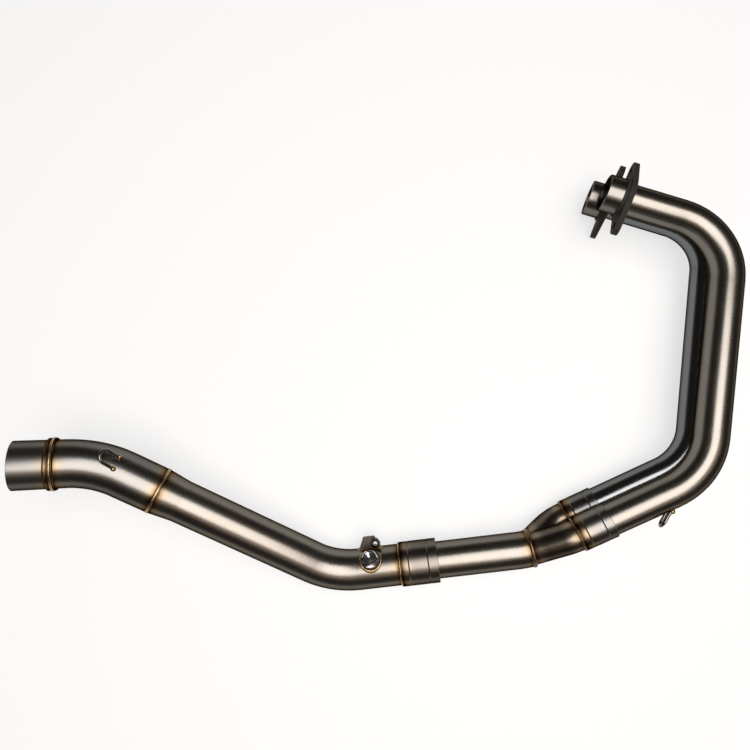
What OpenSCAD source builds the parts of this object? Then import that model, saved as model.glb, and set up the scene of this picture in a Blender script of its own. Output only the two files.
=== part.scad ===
// Two-into-one exhaust header of a parallel twin motorcycle engine, in welded stainless tube.
// It lies on its left side, as it comes to rest on a floor: +Z is up and +X runs to the front bend.
// Every tube is a run of straights and bends. A run is a list of moves, each one
// [straight length, turn of the bend's plane, bend angle, bend radius], as a tube bender is set.

/* [Outlet] */
// Outside diameter of the outlet, which a silencer slips over
outlet_d = 50.8; // [46:0.1:56]
// Wall of the outlet and of the tail pipe
outlet_wall = 1.5; // [1.2:0.1:2]
// Length of the outlet from its rim to its stop bead
outlet_len = 32; // [28:1:50]
// Width of the stop bead, up to the weld
stop_w = 6; // [4:0.5:8]
// How far the stop bead stands above the outlet
stop_h = 1.9; // [1:0.1:3]
// Length of the raised lip at the start of the tail pipe
tail_lip = 4; // [3:0.5:6]

/* [Tail pipe] */
// Straight from the outlet weld to the tail bend
tail_lead = 10.5; // [5:0.5:20]
// Angle of the tail bend
tail_bend = 28.5; // [15:0.5:40]
// Radius of the tail bend
tail_bend_r = 115; // [90:5:150]
// Straight from the tail bend to the tail weld
tail_len = 40.5; // [30:0.5:60]

/* [Link pipe] */
// Outside diameter of the link pipe
link_d = 46; // [44:0.1:48]
// Wall of the link pipe
link_wall = 1.5; // [1.2:0.1:2]
// Length of the cone that opens the link pipe to the tail pipe
link_cone = 26; // [16:1:40]
// Straight from the tail weld to the link bend, with the cone
link_len = 189; // [150:1:220]
// Angle of the link bend
link_bend = 39; // [30:1:50]
// Radius of the link bend
link_bend_r = 83; // [80:1:110]
// Straight from the link bend to the slip joint's weld
link_foot = 49; // [34:1:60]
// Turn of the link bend's plane from the collector pipe's bend
link_turn = 12; // [0:1:24]
// Turn of the tail bend's plane from the link bend's
tail_turn = 145; // [130:1:155]

/* [Slip joint] */
// Length of the slip joint's sleeve
link_sleeve_len = 42; // [34:1:55]
// Wall of the slip joint's sleeve
link_sleeve_wall = 1.6; // [1.2:0.1:2]
// How far a pipe is pushed into the sleeve that is welded to it
lap = 6; // [4:0.5:8]
// Gap between the two pipe ends inside a sleeve
end_gap = 2; // [1:0.5:4]
// Clearance all round in a slip joint
slip_gap = 0.1; // [0.05:0.01:0.2]
// Depth of the rolled lines round a sleeve
groove_h = 0.4; // [0.2:0.1:0.6]
// Width of the rolled lines round a sleeve
groove_w = 1.4; // [0.8:0.2:2]

/* [Collector] */
// Outside diameter of the collector pipe
collector_d = 41; // [40:0.1:43]
// Wall of the collector pipe
collector_wall = 1.5; // [1.2:0.1:2]
// Length of the collector pipe's wide end, which seats in the sleeve
collector_seat = 24; // [16:1:27]
// Length of the cone behind the wide end
collector_cone = 6; // [4:1:9]
// Straight of the collector pipe from its bend to the slip joint's weld
collector_len = 133; // [100:1:170]
// Straight of the collector pipe from the merge weld to its bend
collector_lead = 3; // [2:0.5:6]
// Turn of the collector pipe's bend from the plane of the two sleeves
collector_turn = 93.5; // [80:0.5:100]
// Angle of the collector pipe's bend, next to the merge
collector_bend = 7; // [2:1:12]
// Radius of the collector pipe's bend
collector_bend_r = 100; // [80:5:130]
// Distance from the branch sleeves to the merge weld
merge_len = 55; // [50:1:62]
// How far the merge lies to the right of the middle of the two sleeves
merge_side = 6.5; // [2:0.5:8]
// Turn from the collector pipe to the sleeves at the merge
merge_turn = 13; // [8:1:16]
// Radius of the bends in the two branches
branch_bend_r = 50; // [44:1:60]
// How far each branch lies off the middle where they meet the collector pipe
branch_off = 2.8; // [2.4:0.1:3]

/* [Head pipes] */
// Outside diameter of the head pipes and branches
head_d = 35; // [34:0.1:35.4]
// Wall of the head pipes and branches
head_wall = 1.2; // [1:0.1:1.6]
// Length of the branch sleeves
head_sleeve_len = 37; // [32:1:50]
// Wall of the branch sleeves
head_sleeve_wall = 1.6; // [1.2:0.1:2]
// Distance between the two branch sleeves' middles
sleeve_pitch = 40.4; // [40:0.1:44]
// Turn of the head pipes' lower bends from the plane of the two sleeves
lower_turn = 114; // [108:1:120]
// Straight of the right head pipe from its sleeve's weld to the lower bend
right_low_len = 108; // [90:1:130]
// Angle of the right head pipe's lower bend
right_low_bend = 55; // [50:0.5:60]
// Radius of the right head pipe's lower bend
right_low_r = 80; // [70:1:90]
// Straight of the right head pipe between its bends
right_rise_len = 174; // [150:1:210]
// Turn of the right head pipe's upper bend from its lower one
right_twist = 9; // [0:0.5:12]
// Angle of the right head pipe's upper bend
right_top_bend = 80; // [70:0.5:88]
// Radius of the right head pipe's upper bend
right_top_r = 69.5; // [62:0.5:78]
// Straight of the left head pipe from its sleeve's weld to the lower bend
left_low_len = 118.5; // [105:0.5:130]
// Angle of the left head pipe's lower bend
left_low_bend = 56; // [50:0.5:60]
// Radius of the left head pipe's lower bend
left_low_r = 65; // [60:1:72]
// Straight of the left head pipe between its bends
left_rise_len = 187.5; // [160:0.5:210]
// Turn of the left head pipe's upper bend from its lower one
left_twist = 4.5; // [0:0.5:8]
// Angle of the left head pipe's upper bend
left_top_bend = 77; // [72:0.5:84]
// Radius of the left head pipe's upper bend
left_top_r = 59; // [52:1:64]
// Straight of the right head pipe from its upper bend to the port
right_port_len = 79.5; // [64:0.5:90]
// Straight of the left head pipe from its upper bend to the port
left_port_len = 91; // [72:0.5:98]

/* [Port flanges] */
// Outside diameter of the port collars
collar_d = 41; // [40:0.1:44]
// Length of the port collars, which enter the cylinder head
collar_len = 18; // [12:1:22]
// Depth of the seat for the head pipe in its collar
collar_seat = 9; // [6:1:10]
// Thickness of the flange plate
flange_t = 6; // [5:0.5:8]
// Distance between a flange's two stud holes
stud_pitch = 70; // [64:0.5:76]
// Diameter of the stud holes
stud_hole_d = 8.5; // [6.5:0.5:9.5]
// Radius of the ends round the stud holes
ear_r = 9.5; // [8.5:0.5:12]
// Diameter of the flange plate round the pipe
flange_d = 50; // [46:0.5:56]
// Diameter of the raised hub at its seat on the collar
hub_d = 45; // [43:0.5:48]
// Height of the raised hub above the plate
hub_h = 3.5; // [2:0.5:5]
// Clearance all round between a flange and its pipe
flange_gap = 0.6; // [0.4:0.1:1]
// Turn of the right flange on its pipe
right_flange_turn = 2; // [-10:1:10]
// Turn of the left flange on its pipe
left_flange_turn = -35; // [-60:1:-20]

/* [Sensor bung and stay] */
// Outside diameter of the sensor bung
bung_d = 21; // [20:0.5:27]
// How far the bung stands above the link pipe
bung_h = 4; // [3:0.5:8]
// Bore of the bung, for an M18 sensor
bung_bore = 16.5; // [15:0.5:18]
// Distance from the slip joint's weld back to the bung
bung_at = 33; // [28:1:40]
// Turn of the bung round the pipe, from the bend's plane
bung_turn = -42; // [-60:1:-20]
// Diameter of the plug's flange, under its hexagon
plug_d = 20; // [18:0.5:23]
// Height of the plug's head
plug_h = 5; // [3:0.5:8]
// Width of the stay tab at its weld
stay_w = 26; // [20:1:30]
// Height of the stay tab above the pipe
stay_h = 14; // [10:1:18]
// Thickness of the stay tab
stay_t = 3; // [2:0.5:4]
// Distance from the slip joint's weld back to the stay tab
stay_at = 33; // [28:1:40]
// Turn of the stay tab round the pipe, from the bend's plane
stay_turn = 6; // [-20:1:20]
// Diameter of the hole in the stay tab
stay_hole_d = 6.6; // [5:0.1:8]
// Height of the hole above the pipe
stay_hole_at = 7; // [5:0.5:10]
// Distance of the hole from the middle of the tab, towards the slip joint
stay_hole_off = 7; // [0:0.5:9]
// Width of the nut welded behind the hole, across its flats
stay_nut_w = 10; // [8:0.5:11]
// Height of the nut
stay_nut_h = 5; // [4:0.5:6]

/* [Spring hooks] */
// Diameter of the hook wire
hook_d = 3.4; // [2.5:0.1:4]
// Inside radius of the bend in a hook
hook_r = 5; // [4:0.5:7]
// Length of a hook's legs
hook_leg = 14; // [10:1:20]
// How far a hook leans out from its pipe
hook_lean = 32; // [20:1:45]
// Turn of the tail hook round the pipe, from the tail bend's plane
tail_hook_turn = 112; // [60:1:160]
// How far round the tail bend its hook stands
tail_hook_at = 4; // [1:1:14]
// Distance of the right head pipe's hook from the sleeve's weld
head_hook_at = 98; // [80:1:104]
// Turn of the right head pipe's hook from the lower bend's plane
head_hook_turn = 178; // [150:1:210]

/* [Lay on the floor] */
// Lean of the two sleeves from upright
lean = 17.5; // [0:0.5:30]
// Rise of the sleeves to the front
rise = 9.6; // [0:0.1:20]
// Heading of the sleeves
heading = 26.5; // [0:0.5:40]
// Place of the middle of the two sleeves, across
lay_x = 208.6; // [180:0.1:240]
// Place of the middle of the two sleeves, along
lay_y = -172.6; // [-200:0.1:-150]
// Height of the middle of the two sleeves
lay_z = 39.0; // [30:0.1:60]

/* [Hidden] */
$fn = 96;

steel = "#a79f93";
dark_steel = "#8d867c";
weld_gold = "#b08a4a";
black_steel = "#2c2a28";
chrome = "#d8dade";

cut = 1;
weld_w = 4;
weld_h = 0.9;
fillet_w = 2.6;
big = 300;
// A bend's wall is a little thinner than a straight's, and each straight laps over it
thin = 0.08;
bite = 0.8;

link_moves = [[link_foot, -link_turn, link_bend, link_bend_r], [link_len, 0, 0, 0]];
collector_moves = [
    [collector_lead, collector_turn, collector_bend, collector_bend_r],
    [collector_len, 0, 0, 0],
];
right_moves = [
    [right_low_len, -lower_turn, right_low_bend, right_low_r],
    [right_rise_len, right_twist, right_top_bend, right_top_r],
    [right_port_len, 0, 0, 0],
];
left_moves = [
    [left_low_len, -lower_turn, left_low_bend, left_low_r],
    [left_rise_len, left_twist, left_top_bend, left_top_r],
    [left_port_len, 0, 0, 0],
];

link_sleeve_id = link_d + 2 * slip_gap;
link_sleeve_od = link_sleeve_id + 2 * link_sleeve_wall;
head_sleeve_id = head_d + 2 * slip_gap;
head_sleeve_od = head_sleeve_id + 2 * head_sleeve_wall;
insert = lap + end_gap;

// Each branch leaves its sleeve on a bend that ends where its straight leg points at the merge
right_aim = [merge_side + branch_off - sleeve_pitch / 2, 0, -merge_len];
left_aim = [merge_side - branch_off + sleeve_pitch / 2, 0, -merge_len];
branch_lead = 3;
function branch_side(aim) = abs(aim[0]);
function branch_dist(aim) =
    sqrt(pow(-aim[2] - branch_lead, 2) + pow(branch_side(aim) - branch_bend_r, 2));
function branch_angle(aim) =
    atan2(-aim[2] - branch_lead, branch_bend_r - branch_side(aim))
    - acos(branch_bend_r / branch_dist(aim));
function branch_leg(aim) = sqrt(pow(branch_dist(aim), 2) - pow(branch_bend_r, 2));
// The legs run on past the merge weld, which cuts them square
branch_over = 16;
right_branch_moves = [
    [branch_lead, right_aim[0] < 0 ? 180 : 0, branch_angle(right_aim), branch_bend_r],
    [branch_leg(right_aim) + branch_over, 0, 0, 0],
];
left_branch_moves = [
    [branch_lead, 0, branch_angle(left_aim), branch_bend_r],
    [branch_leg(left_aim) + branch_over, 0, 0, 0],
];

// Frames: each one places its children where a piece starts, with Z along the pipe

module header_frame() {
    translate([lay_x, lay_y, lay_z]) rotate([lean, -rise, heading]) rotate([180, -90, 0]) children();
}

module right_sleeve_frame() {
    header_frame() translate([sleeve_pitch / 2, 0, 0]) children();
}

module left_sleeve_frame() {
    header_frame() translate([-sleeve_pitch / 2, 0, 0]) children();
}

module merge_frame() {
    header_frame() translate([merge_side, 0, -merge_len]) rotate([-merge_turn, 0, 0]) children();
}

module after_bend(move) {
    translate([move[3] * (1 - cos(move[2])), 0, move[3] * sin(move[2])])
        rotate([0, move[2], 0])
            children();
}

// Children at the end of a run
module along(moves, i = 0) {
    if (i == len(moves)) {
        children();
    } else {
        translate([0, 0, moves[i][0]])
            rotate([0, 0, moves[i][1]])
                after_bend(moves[i])
                    along(moves, i + 1) children();
    }
}

module collector_end() {
    merge_frame() rotate([180, 0, 0]) along(collector_moves) children();
}

module link_end() {
    collector_end() along(link_moves) children();
}

// At the start of the tail bend, past the tail weld
module tail_frame() {
    link_end() translate([0, 0, tail_len]) rotate([0, 0, -tail_turn]) children();
}

module outlet_frame() {
    tail_frame() after_bend([0, 0, tail_bend, tail_bend_r]) translate([0, 0, tail_lead]) children();
}

module right_port_frame() {
    right_sleeve_frame() along(right_moves) children();
}

module left_port_frame() {
    left_sleeve_frame() along(left_moves) children();
}

// Shapes that repeat

module tube(d, wall, h) {
    difference() {
        cylinder(d = d, h = h);
        translate([0, 0, -cut]) cylinder(d = d - 2 * wall, h = h + 2 * cut);
    }
}

module bend(d, radius, angle) {
    translate([radius, 0, 0])
        rotate([90, 0, 180])
            rotate_extrude(angle = angle)
                translate([radius, 0]) circle(d = d);
}

module bent_tube(d, wall, radius, angle) {
    translate([radius, 0, 0])
        rotate([90, 0, 180])
            rotate_extrude(angle = angle)
                translate([radius, 0]) difference() {
                    circle(d = d - 2 * thin);
                    circle(d = d - 2 * wall + 2 * thin);
                }
}

// A hollow run, with start cut off its first straight
module tube_run(moves, d, wall, start = 0, i = 0) {
    if (i < len(moves)) {
        from = i == 0 ? start : -bite;
        to = moves[i][0] + (moves[i][2] > 0 ? bite : 0);
        translate([0, 0, from]) tube(d, wall, to - from);
        translate([0, 0, moves[i][0]])
            rotate([0, 0, moves[i][1]]) {
                if (moves[i][2] > 0) bent_tube(d, wall, moves[i][3], moves[i][2]);
                after_bend(moves[i]) tube_run(moves, d, wall, start, i + 1);
            }
    }
}

// The same run as a solid bar, to cut other pieces with
module bar_run(moves, d, start = 0, i = 0) {
    if (i < len(moves)) {
        from = i == 0 ? start : -bite;
        to = moves[i][0] + (moves[i][2] > 0 ? bite : 0);
        translate([0, 0, from]) cylinder(d = d, h = to - from);
        translate([0, 0, moves[i][0]])
            rotate([0, 0, moves[i][1]]) {
                if (moves[i][2] > 0) bend(d - 2 * thin, moves[i][3], moves[i][2]);
                after_bend(moves[i]) bar_run(moves, d, start, i + 1);
            }
    }
}

// A weld bead over a butt joint, a low dome on the pipe
module butt_bead(d, w = weld_w, h = weld_h) {
    r = (pow(w / 2, 2) + h * h) / (2 * h);
    difference() {
        rotate_extrude() translate([d / 2 + h - r, 0]) circle(r = r);
        translate([0, 0, -w - r]) cylinder(d = d, h = 2 * (w + r));
    }
}

// A weld bead in the corner between a pipe and the end of the sleeve over it
module fillet_bead(d, step) {
    rotate_extrude()
        polygon([
            [d / 2, 0],
            [d / 2 + step + 0.3, 0],
            [d / 2 + step + 0.2, -fillet_w * 0.3],
            [d / 2 + step * 0.6, -fillet_w * 0.75],
            [d / 2, -fillet_w],
        ]);
}

// A sleeve with two rolled lines, its weld at z = 0
module sleeve(id, wall, h) {
    r = id / 2 + wall;
    rotate_extrude()
        polygon([
            [id / 2, 0],
            [r, 0],
            for (z = [h * 0.2, h * 0.72]) each [
                [r, z], [r - groove_h, z + groove_w / 2], [r, z + groove_w],
            ],
            [r, h - 0.4],
            [r - 0.4, h],
            [id / 2, h],
        ]);
}

// The outlet and its stop

module outlet_spigot() {
    r = outlet_d / 2;
    h = outlet_len + stop_w;
    color(steel)
        outlet_frame()
            rotate_extrude()
                polygon([
                    [r - outlet_wall, 0],
                    [r + stop_h, 0],
                    [r + stop_h, stop_w - 1.2],
                    [r + stop_h - 0.9, stop_w],
                    [r, stop_w + 0.6],
                    [r, h - 0.4],
                    [r - 0.4, h],
                    [r - outlet_wall, h],
                ]);
}

module outlet_weld() {
    color(weld_gold) outlet_frame() butt_bead(outlet_d + 2 * stop_h, 3, 0.7);
}

module tail_pipe() {
    r = outlet_d / 2;
    color(steel) {
        link_end() tube(outlet_d, outlet_wall, tail_len + bite);
        tail_frame() bent_tube(outlet_d, outlet_wall, tail_bend_r, tail_bend);
        outlet_frame()
            rotate_extrude()
                polygon([
                    [r - outlet_wall, -tail_lead - bite],
                    [r, -tail_lead - bite],
                    [r, -tail_lip + 0.8],
                    [r + stop_h - 0.6, -tail_lip + 1],
                    [r + stop_h, -tail_lip + 1.8],
                    [r + stop_h, 0],
                    [r - outlet_wall, 0],
                ]);
    }
}

module tail_weld() {
    color(weld_gold) link_end() butt_bead(outlet_d);
}

// A round wire bent to a narrow loop, with both legs welded to the pipe and the nose raised.
// The pipe's axis is Z and the hook lies on its +X side, nose towards +Z.
module hook_wire(d) {
    half = hook_r + hook_d / 2;
    translate([d / 2 - hook_d / 2, 0, 0])
        rotate([0, hook_lean, 0]) {
            for (s = [-1, 1]) translate([0, s * half, 0]) cylinder(d = hook_d, h = hook_leg, $fn = 32);
            translate([0, -half, hook_leg])
                rotate([0, 0, 90])
                    bend(hook_d, half, 180, $fn = 32);
        }
}

module hook_bar(d) {
    translate([0, 0, -big / 6]) cylinder(d = d, h = big / 3);
}

module hook_blobs(d) {
    half = hook_r + hook_d / 2;
    for (s = [-1, 1])
        translate([d / 2, s * (half + 0.4), 0.5]) sphere(r = hook_d * 0.8, $fn = 32);
}

module tail_hook_frame() {
    tail_frame()
        after_bend([0, 0, tail_hook_at, tail_bend_r])
            rotate([0, 0, tail_hook_turn])
                children();
}

module tail_hook() {
    color(steel)
        tail_hook_frame()
            difference() {
                hook_wire(outlet_d);
                hook_bar(outlet_d);
            }
}

module tail_hook_weld() {
    color(weld_gold)
        tail_hook_frame()
            difference() {
                hook_blobs(outlet_d);
                hook_wire(outlet_d);
                hook_bar(outlet_d);
            }
}

// The link pipe, its sensor bung and its stay

module link_pipe() {
    r = link_d / 2;
    color(steel)
        difference() {
            union() {
                collector_end() translate([0, 0, -lap]) tube(link_d, link_wall, link_foot + lap + bite);
                collector_end()
                    translate([0, 0, link_foot])
                        rotate([0, 0, link_moves[0][1]])
                            bent_tube(link_d, link_wall, link_bend_r, link_bend);
                link_end()
                    rotate([180, 0, 0])
                        rotate_extrude()
                            polygon([
                                [outlet_d / 2 - link_wall, 0],
                                [outlet_d / 2, 0],
                                [r, link_cone],
                                [r, link_len + bite],
                                [r - link_wall, link_len + bite],
                                [r - link_wall, link_cone],
                            ]);
            }
            bung_frame() cylinder(d = bung_bore, h = link_d);
        }
}

module bung_frame() {
    collector_end()
        translate([0, 0, bung_at])
            rotate([0, 0, bung_turn])
                rotate([0, 90, 0])
                    children();
}

// The straight foot of the link pipe, which carries the bung and the stay
module link_bar() {
    collector_end() cylinder(d = link_d, h = link_foot);
}

module sensor_bung() {
    color(dark_steel)
        difference() {
            bung_frame() cylinder(d = bung_d, h = link_d / 2 + bung_h);
            link_bar();
            bung_frame() cylinder(d = bung_bore, h = link_d);
        }
}

module sensor_bung_weld() {
    color(weld_gold)
        difference() {
            bung_frame()
                translate([0, 0, link_d / 2 - 4])
                    cylinder(d1 = bung_d + 5, d2 = bung_d + 1.2, h = 5.2);
            link_bar();
            bung_frame() cylinder(d = bung_d, h = link_d);
        }
}

module sensor_plug() {
    top = link_d / 2 + bung_h;
    hex = plug_d - 3;
    color(chrome)
        bung_frame() {
            translate([0, 0, top - 8]) cylinder(d = bung_bore - 0.2, h = 8);
            translate([0, 0, top]) cylinder(d = plug_d, h = 1.2);
            difference() {
                intersection() {
                    translate([0, 0, top + 1]) cylinder(d = hex / cos(30), h = plug_h - 1, $fn = 6);
                    translate([0, 0, top + 1])
                        cylinder(d1 = hex + 1.6 * (plug_h - 1), d2 = hex - 1.6, h = plug_h - 1);
                }
                translate([0, 0, top + plug_h - 1.4]) cylinder(d1 = 2, d2 = hex - 4, h = 1.41);
            }
        }
}

module stay_frame() {
    collector_end()
        translate([0, 0, stay_at])
            rotate([0, 0, stay_turn])
                rotate([0, 90, 0])
                    children();
}

module stay_tab() {
    color(dark_steel)
        difference() {
            stay_frame()
                translate([0, stay_t / 2, 0])
                    rotate([90, 0, 0])
                        linear_extrude(stay_t)
                            polygon([
                                [-stay_w / 2, 0],
                                [stay_w / 2, 0],
                                [stay_w / 2, link_d / 2],
                                [stay_w / 4, link_d / 2 + stay_h],
                                [-stay_w / 4, link_d / 2 + stay_h],
                                [-stay_w / 2, link_d / 2],
                            ]);
            link_bar();
            stay_hole_frame() translate([0, 0, -cut]) cylinder(d = stay_hole_d, h = stay_t + 2 * cut);
        }
}

// On the tab's face, at its hole, with Z out of the face
module stay_hole_frame() {
    stay_frame()
        translate([stay_hole_off, stay_t / 2, link_d / 2 + stay_hole_at])
            rotate([90, 0, 0])
                children();
}

module stay_nut() {
    color(chrome)
        stay_hole_frame()
            translate([0, 0, stay_t])
                difference() {
                    cylinder(d = stay_nut_w / cos(30), h = stay_nut_h, $fn = 6);
                    translate([0, 0, -cut]) cylinder(d = stay_hole_d - 1.6, h = stay_nut_h + 2 * cut);
                }
}

module stay_tab_weld() {
    color(weld_gold)
        difference() {
            stay_frame()
                translate([-stay_w / 2 - 1, -stay_t / 2 - 1.5, 0])
                    cube([stay_w + 2, stay_t + 3, link_d / 2 + 1]);
            link_bar();
            stay_frame()
                translate([-stay_w / 2, -stay_t / 2, 0])
                    cube([stay_w, stay_t, link_d]);
        }
}

// The slip joint and the collector pipe

module link_sleeve() {
    color(steel)
        collector_end()
            rotate([180, 0, 0])
                sleeve(link_sleeve_id, link_sleeve_wall, link_sleeve_len);
}

module link_sleeve_weld() {
    color(weld_gold)
        collector_end()
            rotate([180, 0, 0])
                fillet_bead(link_d, link_sleeve_wall);
}

module collector_pipe() {
    r = collector_d / 2;
    w = collector_wall;
    move = collector_moves[0];
    color(steel) {
        merge_frame()
            rotate([180, 0, 0]) {
                tube(collector_d, w, move[0] + bite);
                translate([0, 0, move[0]])
                    rotate([0, 0, move[1]])
                        bent_tube(collector_d, w, move[3], move[2]);
            }
        collector_end()
            rotate([180, 0, 0])
                rotate_extrude()
                    polygon([
                        [link_d / 2 - w, insert],
                        [link_d / 2, insert],
                        [link_d / 2, insert + collector_seat],
                        [r, insert + collector_seat + collector_cone],
                        [r, collector_len + bite],
                        [r - w, collector_len + bite],
                        [r - w, insert + collector_seat + collector_cone],
                        [link_d / 2 - w, insert + collector_seat],
                    ]);
    }
}

// The merge: the left branch is coped to fit on the right one

module right_branch_bar(d, start = -lap) {
    right_sleeve_frame() rotate([180, 0, 0]) bar_run(right_branch_moves, d, start);
}

module left_branch_bar(d, start = -lap) {
    left_sleeve_frame() rotate([180, 0, 0]) bar_run(left_branch_moves, d, start);
}

module past_merge() {
    merge_frame() translate([-big / 2, -big / 2, -big]) cube(big);
}

// The side of the merge that only the right branch reaches
module right_of_merge() {
    merge_frame() translate([0, -big / 2, -big / 2]) cube(big);
}

module collector_weld() {
    r = (pow(2.2, 2) + 1) / 2;
    color(weld_gold)
        difference() {
            merge_frame()
                rotate_extrude() {
                    square([collector_d / 2 + 0.2, 2]);
                    difference() {
                        translate([collector_d / 2 + 1 - r, 0]) circle(r = r);
                        translate([-r, -2 * r]) square([collector_d / 2 + r, 4 * r]);
                    }
                }
            right_branch_bar(head_d);
            left_branch_bar(head_d);
        }
}

module right_branch() {
    color(steel)
        difference() {
            right_sleeve_frame()
                rotate([180, 0, 0])
                    tube_run(right_branch_moves, head_d, head_wall, -lap);
            left_branch_bar(head_d - 2 * head_wall, 0);
            past_merge();
        }
}

module left_branch() {
    color(steel)
        difference() {
            left_sleeve_frame()
                rotate([180, 0, 0])
                    tube_run(left_branch_moves, head_d, head_wall, -lap);
            right_branch_bar(head_d, 0);
            past_merge();
            right_of_merge();
        }
}

module branch_seam_weld() {
    color(weld_gold)
        difference() {
            intersection() {
                right_branch_bar(head_d + 2.4, 4);
                left_branch_bar(head_d + 2.4, 4);
            }
            right_branch_bar(head_d, 0);
            left_branch_bar(head_d, 0);
            merge_frame() translate([-big / 2, -big / 2, 2 - big]) cube(big);
        }
}

module right_sleeve() {
    color(steel) right_sleeve_frame() sleeve(head_sleeve_id, head_sleeve_wall, head_sleeve_len);
}

module left_sleeve() {
    color(steel) left_sleeve_frame() sleeve(head_sleeve_id, head_sleeve_wall, head_sleeve_len);
}

module right_sleeve_weld() {
    color(weld_gold) right_sleeve_frame() fillet_bead(head_d, head_sleeve_wall);
}

module left_sleeve_weld() {
    color(weld_gold) left_sleeve_frame() fillet_bead(head_d, head_sleeve_wall);
}

// The head pipes

module right_head_pipe() {
    color(steel) right_sleeve_frame() tube_run(right_moves, head_d, head_wall, insert);
}

module left_head_pipe() {
    color(dark_steel) left_sleeve_frame() tube_run(left_moves, head_d, head_wall, insert);
}

module head_hook_frame() {
    right_sleeve_frame()
        translate([0, 0, head_hook_at])
            rotate([0, 0, -lower_turn + head_hook_turn])
                rotate([180, 0, 0])
                    children();
}

module head_hook() {
    color(steel)
        head_hook_frame()
            difference() {
                hook_wire(head_d);
                hook_bar(head_d);
            }
}

module head_hook_weld() {
    color(weld_gold)
        head_hook_frame()
            difference() {
                hook_blobs(head_d);
                hook_wire(head_d);
                hook_bar(head_d);
            }
}

// The port collars and the loose flanges behind them

module port_collar() {
    r = collar_d / 2;
    translate([0, 0, -collar_seat])
        rotate_extrude()
            polygon([
                [head_d / 2, 0],
                [r, 0],
                [r, collar_len - 0.8],
                [r - 0.8, collar_len],
                [head_d / 2 - head_wall, collar_len],
                [head_d / 2 - head_wall, collar_seat],
                [head_d / 2, collar_seat],
            ]);
}

module right_port_collar() {
    color(steel) right_port_frame() port_collar();
}

module left_port_collar() {
    color(steel) left_port_frame() port_collar();
}

// The plate's front carries the hub, which seats on the back of the collar
module flange(turn) {
    translate([0, 0, -collar_seat - hub_h - flange_t])
        rotate([0, 0, turn])
            difference() {
                union() {
                    linear_extrude(flange_t)
                        hull() {
                            circle(d = flange_d);
                            for (s = [-1, 1]) translate([s * stud_pitch / 2, 0]) circle(r = ear_r, $fn = 32);
                        }
                    translate([0, 0, flange_t]) cylinder(d1 = flange_d - 4, d2 = hub_d, h = hub_h);
                }
                translate([0, 0, -cut]) cylinder(d = head_d + 2 * flange_gap, h = flange_t + hub_h + 2 * cut);
                for (s = [-1, 1])
                    translate([s * stud_pitch / 2, 0, -cut]) cylinder(d = stud_hole_d, h = flange_t + 2 * cut);
            }
}

module right_flange() {
    color(black_steel) right_port_frame() flange(right_flange_turn);
}

module left_flange() {
    color(black_steel) left_port_frame() flange(left_flange_turn);
}

outlet_spigot();
outlet_weld();
tail_pipe();
tail_hook();
tail_hook_weld();
tail_weld();
link_pipe();
sensor_bung();
sensor_bung_weld();
sensor_plug();
stay_tab();
stay_tab_weld();
stay_nut();
link_sleeve();
link_sleeve_weld();
collector_pipe();
collector_weld();
right_branch();
left_branch();
branch_seam_weld();
right_sleeve();
right_sleeve_weld();
left_sleeve();
left_sleeve_weld();
right_head_pipe();
head_hook();
head_hook_weld();
left_head_pipe();
right_port_collar();
left_port_collar();
right_flange();
left_flange();
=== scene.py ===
import bpy
import numpy as np
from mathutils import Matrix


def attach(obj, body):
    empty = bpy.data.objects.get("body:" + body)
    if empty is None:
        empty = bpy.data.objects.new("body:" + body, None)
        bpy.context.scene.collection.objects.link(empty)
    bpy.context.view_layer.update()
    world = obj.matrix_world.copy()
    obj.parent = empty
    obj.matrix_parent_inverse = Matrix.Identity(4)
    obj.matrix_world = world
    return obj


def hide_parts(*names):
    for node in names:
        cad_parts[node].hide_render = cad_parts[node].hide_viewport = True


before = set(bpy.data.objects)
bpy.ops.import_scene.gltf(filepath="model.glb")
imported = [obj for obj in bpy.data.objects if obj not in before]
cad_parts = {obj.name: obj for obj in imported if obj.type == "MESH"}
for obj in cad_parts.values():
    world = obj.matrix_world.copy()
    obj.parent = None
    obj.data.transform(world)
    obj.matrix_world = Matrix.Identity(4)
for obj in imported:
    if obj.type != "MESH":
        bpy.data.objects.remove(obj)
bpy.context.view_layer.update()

# The run of tubes. The header is bent, cut and welded from stainless tube, and it lies on its left
# side on the floor. Its pieces are found here from the bender's own figures, in millimetres:
# each move is a straight, a turn of the bend's plane, a bend angle and a bend radius.
LAY = (208.6, -172.6, 39.0)
LEAN, RISE, HEADING = 17.5, -9.6, 26.5
SLEEVE_PITCH = 40.4
MERGE_SIDE, MERGE_LEN, MERGE_TURN = 6.5, 55, 13
COLLECTOR_RUN = [(3, 93.5, 7, 100), (133, 0, 0, 0)]
LINK_RUN = [(49, -12, 39, 83), (189, 0, 0, 0)]
TAIL_RUN = [(40.5, -145, 28.5, 115), (10.5, 0, 0, 0)]
RIGHT_RUN = [(108, -114, 55, 80), (174, 9, 80, 69.5), (79.5, 0, 0, 0)]
LEFT_RUN = [(118.5, -114, 56, 65), (187.5, 4.5, 77, 59), (91, 0, 0, 0)]


def shift(x=0.0, y=0.0, z=0.0):
    """A place moved by x, y and z millimetres, as a 4 by 4 matrix in metres."""
    place = np.eye(4)
    place[:3, 3] = np.array([x, y, z]) / 1000
    return place


def turn(axis, degrees):
    """A place turned about its own X, Y or Z by the right-hand rule."""
    first, second = {"X": (1, 2), "Y": (2, 0), "Z": (0, 1)}[axis]
    c, s = np.cos(np.radians(degrees)), np.sin(np.radians(degrees))
    place = np.eye(4)
    place[[first, first, second, second], [first, second, first, second]] = c, -s, s, c
    return place


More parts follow.
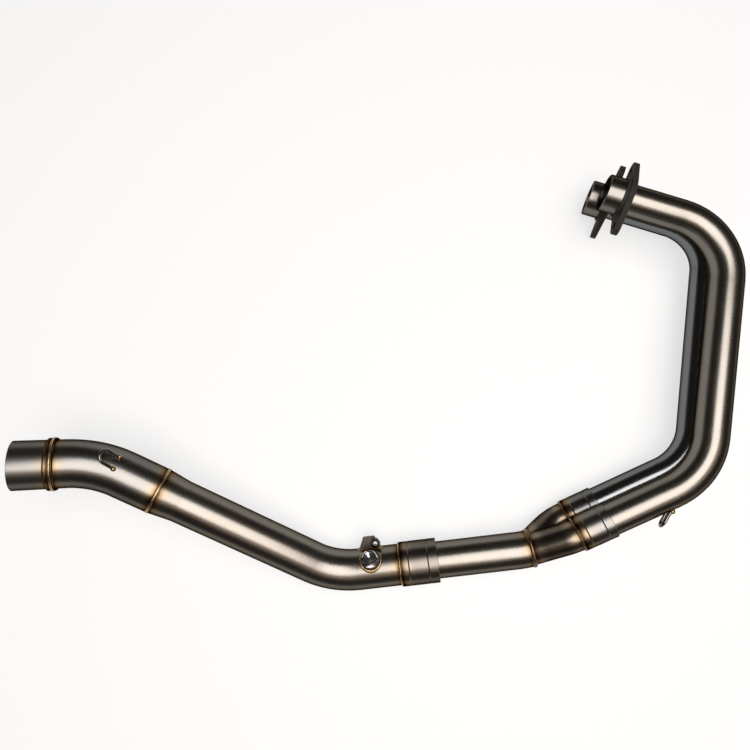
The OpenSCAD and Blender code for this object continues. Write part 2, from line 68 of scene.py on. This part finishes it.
def along(run):
    """The end of a run: straight up Z, turned about Z, then round the bend towards X."""
    place = np.eye(4)
    for straight, roll, angle, radius in run:
        a = np.radians(angle)
        bend = shift(x=radius * (1 - np.cos(a)), z=radius * np.sin(a)) @ turn("Y", angle)
        place = place @ shift(z=straight) @ turn("Z", roll) @ bend
    return place


lying = turn("Z", HEADING) @ turn("Y", RISE) @ turn("X", LEAN)
header = shift(*LAY) @ lying @ turn("Y", -90) @ turn("X", 180)
right_sleeve = header @ shift(x=SLEEVE_PITCH / 2)
left_sleeve = header @ shift(x=-SLEEVE_PITCH / 2)
merge = header @ shift(x=MERGE_SIDE, z=-MERGE_LEN) @ turn("X", -MERGE_TURN)
slip_joint = merge @ turn("X", 180) @ along(COLLECTOR_RUN)
tail_joint = slip_joint @ along(LINK_RUN)
outlet = tail_joint @ along(TAIL_RUN)
right_port = right_sleeve @ along(RIGHT_RUN)
left_port = left_sleeve @ along(LEFT_RUN)

# The tubes themselves: satin stainless, polished with a belt and then heated by welding and running.
# The tube colours straw, bronze and brown beside each weld, and the tint fades out along the pipe.
# Lengths are in metres from here on, and TURNED_LINES is in radians of the lathe's lines to the metre.
STEEL = (0.172, 0.158, 0.140)
STEEL_COOL = (0.150, 0.151, 0.152)
STEEL_WARM = (0.195, 0.165, 0.133)
# A dark specular tint: painted shade on the grazing reflections along the tubes' edges, where they would
# show the pale floor.
PAINTED_EDGE_SHADE = (0.12, 0.10, 0.07)
TINT = [
    (0.0, (0.020, 0.014, 0.011)),
    (0.13, (0.045, 0.028, 0.017)),
    (0.24, (0.14, 0.095, 0.055)),
    (0.45, (0.185, 0.15, 0.11)),
    (1.0, STEEL),
]
TINT_REACH = 0.016
SATIN_DEPTH = 0.00004
TURNED_LINES = 5000
OUTLET_R, LINK_R, COLLECTOR_R, HEAD_R = 0.0254, 0.023, 0.0205, 0.0175


class Field:
    """A value that changes over a surface. It wraps a shader socket, and sums on it add Math nodes."""

    def __init__(self, finish, socket):
        self.finish = finish
        self.socket = socket

    def sum(self, operation, first, second=0.0):
        return self.finish.node("ShaderNodeMath", {"operation": operation}, {0: first, 1: second})

    def __add__(self, other):
        return self.sum("ADD", self, other)

    def __sub__(self, other):
        return self.sum("SUBTRACT", self, other)

    def __mul__(self, other):
        return self.sum("MULTIPLY", self, other)

    def __truediv__(self, other):
        return self.sum("DIVIDE", self, other)

    def __pow__(self, other):
        return self.sum("POWER", self, other)

    def __rsub__(self, other):
        return self.sum("SUBTRACT", other, self)

    def __rtruediv__(self, other):
        return self.sum("DIVIDE", other, self)

    def __rpow__(self, other):
        return self.sum("POWER", other, self)

    def __gt__(self, other):
        return self.sum("GREATER_THAN", self, other)

    def __lt__(self, other):
        return self.sum("LESS_THAN", self, other)

    def __abs__(self):
        return self.sum("ABSOLUTE", self)

    def least(self, other):
        return self.sum("MINIMUM", self, other)

    __radd__ = __add__
    __rmul__ = __mul__


class Finish:
    """One material. Every node comes from node(): its type, its settings, then its sockets' values or
    links."""

    def __init__(self, name, metallic=1.0):
        self.material = bpy.data.materials.new(name)
        self.material.use_nodes = True
        self.tree = self.material.node_tree
        self.shader = self.tree.nodes["Principled BSDF"]
        self.shader.inputs["Metallic"].default_value = metallic
        self.point = self.node("ShaderNodeTexCoord", out="Object")

    def node(self, kind, settings=None, sockets=None, out=0):
        made = self.tree.nodes.new(kind)
        for key, value in (settings or {}).items():
            if key == "stops":
                ramp = made.color_ramp.elements
                while len(ramp) < len(value):
                    ramp.new(0.5)
                for stop, (place, colour) in zip(ramp, value):
                    stop.position = place
                    stop.color = (*colour, 1)
            else:
                setattr(made, key, value)
        for key, value in (sockets or {}).items():
            self.feed(made.inputs[key], value)
        return Field(self, made.outputs[out])

    def feed(self, socket, value):
        if isinstance(value, Field):
            self.tree.links.new(value.socket, socket)
        elif isinstance(value, tuple) and socket.type == "RGBA":
            socket.default_value = (*value, 1)
        else:
            socket.default_value = value

    def set(self, **sockets):
        for key, value in sockets.items():
            self.feed(self.shader.inputs[key.replace("_", " ")], value)

    def blend(self, factor, low, high):
        return self.node(
            "ShaderNodeMix", {"data_type": "RGBA"}, {0: factor, 6: low, 7: high}, out=2
        )

    def noise(self, scale, detail=3.0, stretch=None):
        """Soft noise from 0 to 1, so many lumps to the metre, or drawn out on some axes."""
        point = self.point
        if stretch:
            point = self.node("ShaderNodeMapping", None, {"Vector": self.point, "Scale": stretch})
        return self.node(
            "ShaderNodeTexNoise", None, {"Vector": point, "Scale": scale, "Detail": detail}, out="Fac"
        )

    def bump(self, height, depth, strength=1.0):
        """Height from 0 to 1 as a bump of that depth in metres."""
        relief = {"Height": height, "Distance": depth, "Strength": strength}
        return self.node("ShaderNodeBump", None, relief, out="Normal")

    def dot(self, vector, direction):
        return self.node(
            "ShaderNodeVectorMath", {"operation": "DOT_PRODUCT"},
            {0: vector, 1: tuple(float(v) for v in direction)}, out="Value",
        )

    def ring(self, place):
        """Where a point lies from a place: along its Z, and out from its axis."""
        offset = self.node(
            "ShaderNodeVectorMath", {"operation": "SUBTRACT"},
            {0: self.point, 1: tuple(float(v) for v in place[:3, 3])},
        )
        x, y, z = (self.dot(offset, place[:3, i]) for i in range(3))
        return z, (x * x + y * y) ** 0.5


def satin_tube(name, welds, base=STEEL, rough=0.235, machined=None):
    """Satin stainless: cloudy warm and cool patches, a belt's fine grain, faint marks, and heat tint by
    each weld, which fades with the distance along the pipe. welds holds places and the pipe's radius
    there. A machined piece has fine turning lines, rings about the axis of the place that it names."""
    f = Finish(name)
    # Painted shade: the dark specular tint dims the grazing reflections at the tube's edges.
    f.feed(f.shader.inputs["Specular Tint"], PAINTED_EDGE_SHADE)
    cloud = f.noise(9, 2)
    patch = f.noise(34, 4)
    grain = f.noise(900, 2, (1.0, 0.25, 1.0))
    colour = f.blend(cloud, STEEL_COOL, STEEL_WARM)
    colour = f.blend(patch * 0.35, base, colour)
    near = None
    for place, radius in welds:
        z, out = f.ring(place)
        elsewhere = out > radius * 1.6
        reach = abs(z) + elsewhere * 1.0
        near = reach if near is None else near.least(reach)
    if near is not None:
        near = near / TINT_REACH + (f.noise(70, 3) - 0.5) * 0.35
        tint = f.node("ShaderNodeValToRGB", {"stops": TINT}, {"Fac": near}, out="Color")
        span = {"Value": near, "From Min": 0.5, "From Max": 1.0}
        fade = f.node("ShaderNodeMapRange", None, span, out="Result")
        colour = f.blend(fade, tint, colour)
    marks = (f.noise(140, 5) > 0.76) * 0.12
    colour = f.blend(marks, colour, (0.09, 0.08, 0.07))
    relief = grain * 0.25 + patch * 0.4
    if machined is not None:
        z, _ = f.ring(machined)
        relief = relief + z.sum("SINE", z * TURNED_LINES) * 0.12
    f.set(
        Base_Color=colour,
        Roughness=rough + patch * 0.08,
        Normal=f.bump(relief, SATIN_DEPTH, 0.5),
    )
    return f.material


def wear(nodes, material):
    """A CAD piece takes its finish in every slot."""
    for name in nodes:
        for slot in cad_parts[name].material_slots:
            slot.material = material


# The outlet: a short turned spigot that the silencer slips over, up to a raised stop bead.
# It is plain machined stainless, a little duller than the tubes, and welded to the tail pipe.
outlet_welds = [(outlet, OUTLET_R)]
wear(["outlet_spigot"], satin_tube("outlet_steel", outlet_welds, (0.150, 0.147, 0.142), 0.28, outlet))

# The tail pipe and the link pipe: 50.8 mm tube swaged down to 46 mm, mandrel bent, polished by belt.
# The link pipe carries the sensor bung, and its heat tint is drawn only beside the tail and slip welds.
BUNG_AT, BUNG_TURN = 33, -42
bung = slip_joint @ shift(z=BUNG_AT) @ turn("Z", BUNG_TURN) @ turn("Y", 90)
tail_welds = [(outlet, OUTLET_R), (tail_joint, OUTLET_R)]
wear(["tail_pipe"], satin_tube("tail_steel", tail_welds, (0.152, 0.147, 0.140)))
wear(["link_pipe"], satin_tube("link_steel", [(tail_joint, OUTLET_R), (slip_joint, LINK_R)]))

# The slip joint's sleeve and the collector pipe, which slides out of it for fitting.
# The sleeve is turned tube with two rolled lines, and the collector is 41 mm tube with a swaged end.
slip_welds = [(slip_joint, LINK_R)]
wear(["link_sleeve"], satin_tube("slip_sleeve_steel", slip_welds, (0.125, 0.112, 0.097), 0.26, slip_joint))
wear(["collector_pipe"], satin_tube("collector_steel", [(merge, COLLECTOR_R)]))

# The two branches are bent from 35 mm tube, coped to each other and welded into the collector.
# They are short, so the welding heat has coloured them over most of their length.
branch_welds = [(merge, COLLECTOR_R * 1.4), (right_sleeve, HEAD_R), (left_sleeve, HEAD_R)]
wear(["right_branch", "left_branch"], satin_tube("branch_steel", branch_welds, (0.075, 0.062, 0.05)))
right_welds, left_welds = [(right_sleeve, HEAD_R)], [(left_sleeve, HEAD_R)]
sleeve_steel = satin_tube("right_sleeve_steel", right_welds, (0.145, 0.139, 0.130), 0.25, right_sleeve)
wear(["right_sleeve"], sleeve_steel)
sleeve_steel = satin_tube("left_sleeve_steel", left_welds, (0.118, 0.120, 0.120), 0.22, left_sleeve)
wear(["left_sleeve"], sleeve_steel)

# The head pipes: long 35 mm tubes, each with two mandrel bends, plain satin from end to end.
# Their collars are thick turned rings that seat in the cylinder head's ports.
wear(["right_head_pipe"], satin_tube("right_head_steel", []))
wear(["left_head_pipe"], satin_tube("left_head_steel", [], (0.140, 0.149, 0.154), 0.15))
wear(["right_port_collar"], satin_tube("right_collar_steel", [], (0.14, 0.132, 0.12), 0.22, right_port))
wear(["left_port_collar"], satin_tube("left_collar_steel", [], (0.14, 0.132, 0.12), 0.22, left_port))

# The port flanges: cut steel plates with two ears, loose on the pipes, in matt heat-proof black.
# The paint is a little brown where it has been hot.
f = Finish("black_flange_paint", metallic=0.0)
f.feed(f.shader.inputs["Specular IOR Level"], 0.25)
brown = f.noise(40, 4)
speck = f.noise(420, 3)
f.set(
    Base_Color=f.blend(brown * 0.7, (0.010, 0.009, 0.009), (0.035, 0.026, 0.020)),
    Roughness=0.60 + speck * 0.25,
    Normal=f.bump(speck, 0.0003, 0.4),
)
wear(["right_flange", "left_flange"], f.material)

# The sensor bung, the stay tab and the two spring hooks: plain mild and stainless steel, as welded.
# The bung and tab are dark with scale, and the hooks are bright drawn wire.
f = Finish("scaled_steel")
scale = f.noise(160, 5)
f.set(
    Base_Color=f.blend(scale, (0.045, 0.042, 0.036), (0.12, 0.108, 0.09)),
    Roughness=0.38 + scale * 0.2,
    Normal=f.bump(scale, 0.0002, 0.4),
)
wear(["sensor_bung", "stay_tab"], f.material)

f = Finish("hook_wire")
drawn = f.noise(300, 3, (1.0, 1.0, 0.2))
f.set(
    Base_Color=f.blend(drawn, (0.07, 0.062, 0.052), (0.20, 0.18, 0.155)),
    Roughness=0.16 + drawn * 0.16,
    Normal=f.bump(drawn, 0.0001, 0.3),
)
wear(["tail_hook", "head_hook"], f.material)

# The sensor plug and the nut on the stay: plated steel with fine handling marks. The plug is bright
# and closes the bung's M18 thread until a sensor is fitted, and the nut is nearly black.
def plating(name, low, high):
    """Plated steel between two colours, with marks that also change its roughness."""
    f = Finish(name)
    marks = f.noise(240, 6)
    f.set(
        Base_Color=f.blend(marks, low, high),
        Roughness=0.10 + marks * 0.14,
        Normal=f.bump(marks, 0.0003, 0.5),
    )
    return f.material


wear(["sensor_plug"], plating("bright_plating", (0.40, 0.41, 0.43), (0.72, 0.73, 0.75)))
wear(["stay_nut"], plating("black_plating", (0.010, 0.010, 0.010), (0.05, 0.05, 0.05)))

# The welds: hand-laid beads of stainless rod, a row of overlapping ripples, straw and gold, and brown
# where the merge got hottest. A bead is a closed profile carried round its joint, and each ripple
# swells it, later in its middle than at its sides, as a moving pool freezes.
RIPPLE = 1.3
BEAD_SIDES = 28


def weld_finish(name, straw, brown):
    """Weld metal from straw to brown along the bead, with darker lumps of scale."""
    f = Finish(name)
    lump = f.noise(260, 4)
    hue = f.noise(60, 3)
    f.set(
        Base_Color=f.blend(lump * 0.7, f.blend(hue, straw, brown), (0.05, 0.03, 0.018)),
        Roughness=0.18 + lump * 0.2,
        Normal=f.bump(lump, 0.0002, 0.5),
    )
    return f.material


weld_gold = weld_finish("weld_gold", (0.50, 0.34, 0.13), (0.30, 0.22, 0.12))
weld_brown = weld_finish("weld_brown", (0.22, 0.14, 0.065), (0.075, 0.052, 0.036))


def bead(
    name, place, radius, half_width, height,
    centre=0.0, rise=0.0, over=None, replaces=(), hue=weld_gold,
):
    """A bead round a pipe. Round the ring, t runs from 0 to a full turn, and across it, s does too.
    Its section is an ellipse, half_width by height, set at (centre along, radius + rise out). The ripples
    scale it by 1 + 0.16 times the rounded saw of (t's ripple count - 0.6 at the crown). over gives the
    height of the surface that the ring lies on, from its x and y, for a ring round a boss."""
    count = int(round(2 * np.pi * radius * 1000 / RIPPLE))
    steps = count * 6
    t = np.linspace(0, 2 * np.pi, steps, endpoint=False)[:, None]
    s = np.linspace(0, 2 * np.pi, BEAD_SIDES, endpoint=False)[None, :]
    phase = (t / (2 * np.pi) * count - 0.6 * np.sin(s)) % 1.0
    swell = 1 + 0.16 * (1 - phase) ** 0.7 - 0.08
    wander = 1 + 0.05 * np.sin(3 * t + 1) + 0.04 * np.sin(11 * t)
    out = radius + rise + height * np.sin(s) * swell * wander
    z = centre + half_width * np.cos(s) * (1 + 0.4 * (swell - 1)) * wander + 0 * t
    x, y = out * np.cos(t), out * np.sin(t)
    if over is not None:
        out = radius + half_width * np.cos(s) * swell
        x, y = out * np.cos(t), out * np.sin(t)
        z = over(x, y) + rise + height * np.sin(s) * swell * wander
    grid = np.stack([x, y, z], -1).reshape(-1, 3)
    grid = grid @ place[:3, :3].T + place[:3, 3]
    i, j = np.meshgrid(np.arange(steps), np.arange(BEAD_SIDES), indexing="ij")
    i2, j2 = (i + 1) % steps, (j + 1) % BEAD_SIDES
    quads = np.stack([i, i2, i2, i], -1) * BEAD_SIDES + np.stack([j, j, j2, j2], -1)
    mesh = bpy.data.meshes.new(name)
    mesh.from_pydata(grid.tolist(), [], quads.reshape(-1, 4).tolist())
    if over is None:
        mesh.flip_normals()
    mesh.shade_smooth()
    mesh.materials.append(hue)
    piece = bpy.data.objects.new(name, mesh)
    bpy.context.scene.collection.objects.link(piece)
    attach(piece, "root")
    if replaces:
        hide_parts(*replaces)


STOP_R = OUTLET_R + 0.0019
bead("outlet_bead", outlet, STOP_R, 0.0012, 0.0006, replaces=["outlet_weld"])
bead("tail_bead", tail_joint, OUTLET_R, 0.0014, 0.0006, replaces=["tail_weld"])
bead("slip_bead", slip_joint, LINK_R, 0.0011, 0.0009, 0.0010, 0.0005, replaces=["link_sleeve_weld"])
for side, sleeve in (("right", right_sleeve), ("left", left_sleeve)):
    bead(
        side + "_sleeve_bead", sleeve, HEAD_R, 0.0014, 0.0011, -0.0010, 0.0005,
        replaces=[side + "_sleeve_weld"], hue=weld_brown,
    )
bead("merge_bead", merge, COLLECTOR_R, 0.0020, 0.0011, hue=weld_brown)


def pipe_top(x, y):
    """Height of the link pipe's surface over the bung's plane: its circle at each y."""
    return np.sqrt(LINK_R ** 2 - y ** 2)


BUNG_WELD_R = 0.0116
bead(
    "bung_bead", bung, BUNG_WELD_R, 0.0014, 0.0012,
    rise=0.0006, over=pipe_top, replaces=["sensor_bung_weld"],
)
wear(["tail_hook_weld", "head_hook_weld", "stay_tab_weld"], weld_gold)
wear(["collector_weld", "branch_seam_weld"], weld_brown)

# The studio: a pale floor under a broad soft lamp, and a camera looking down on the header as it lies.
# A wider, warmer lamp behind the first one softens its edge. The walls are dim, and they get lighter
# down to the floor, as a curved backdrop does.
FLOOR_HALF = 40.0
WALL_GLOW = 0.32
corners = np.array([(-1, -1, 0), (1, -1, 0), (1, 1, 0), (-1, 1, 0)]) * FLOOR_HALF
mesh = bpy.data.meshes.new("studio_floor")
mesh.from_pydata(corners.tolist(), [], [(0, 1, 2, 3)])
floor = bpy.data.objects.new("studio_floor", mesh)
bpy.context.scene.collection.objects.link(floor)
f = Finish("studio_floor", metallic=0.0)
f.set(Base_Color=(0.85, 0.85, 0.85), Roughness=0.9)
rays = f.node("ShaderNodeLightPath", out="Is Camera Ray")
glossy = f.node("ShaderNodeLightPath", out="Is Glossy Ray")
clear = f.node("ShaderNodeLightPath", out="Is Transmission Ray")
seen = (rays + glossy + clear).least(1.0)
white = f.node("ShaderNodeEmission", None, {"Color": (1.0, 1.0, 1.0), "Strength": 1.0})
mixed = f.node(
    "ShaderNodeMixShader", None,
    {0: seen * 0.7, 1: Field(f, f.shader.outputs[0]), 2: white},
)
f.tree.links.new(mixed.socket, f.tree.nodes["Material Output"].inputs["Surface"])
floor.data.materials.append(f.material)


class Walls(Finish):
    """The world round the floor, which has a Background in place of a surface."""

    def __init__(self, name):
        self.world = bpy.data.worlds.new(name)
        self.world.use_nodes = True
        self.tree = self.world.node_tree
        self.shader = self.tree.nodes["Background"]
        self.point = self.node("ShaderNodeTexCoord", out="Generated")


WALL_DIM, WALL_LIGHT = 0.045, 0.28
walls = Walls("studio_walls")
height = walls.dot(walls.point, (0, 0, 1))
fall = 1 - height / WALL_GLOW
glow = fall.sum("MAXIMUM", fall, 0.0) ** 2
walls.set(Color=(1.0, 0.90, 0.80), Strength=WALL_DIM + glow * WALL_LIGHT)
bpy.context.scene.world = walls.world


def lamp(name, place, aim, width, length, power, colour):
    """A soft box: a rectangle of light at place, facing aim, its length across the line between them."""
    light = bpy.data.lights.new(name, "AREA")
    light.shape = "RECTANGLE"
    light.size, light.size_y = length, width
    light.energy = power
    light.color = colour
    piece = bpy.data.objects.new(name, light)
    back = np.array(place) - np.array(aim)
    back = back / np.linalg.norm(back)
    side = np.cross((0, 0, 1), back)
    side = side / np.linalg.norm(side)
    up = np.cross(back, side)
    matrix = np.eye(4)
    matrix[:3, :3] = np.stack([side, up, back], 1)
    matrix[:3, 3] = place
    piece.matrix_world = matrix.T
    bpy.context.scene.collection.objects.link(piece)


lamp("main_box", (0.20, -0.13, 1.6), (0.0, -0.05, 0), 1.2, 1.45, 31, (1.0, 1.0, 1.0))
lamp("warm_box", (0.28, -0.42, 1.75), (0.0, -0.05, 0), 1.8, 2.1, 10, (1.0, 0.74, 0.54))

camera = bpy.data.cameras.new("camera")
camera.lens = 27.02
camera.clip_start = 0.01
eye = bpy.data.objects.new("camera", camera)
eye.location = (-0.0169, -0.06977, 0.69547)
eye.rotation_euler = (np.radians(6.0), 0.0, 0.0)
bpy.context.scene.collection.objects.link(eye)
bpy.context.scene.camera = eye
bpy.context.scene.view_settings.view_transform = "Standard"
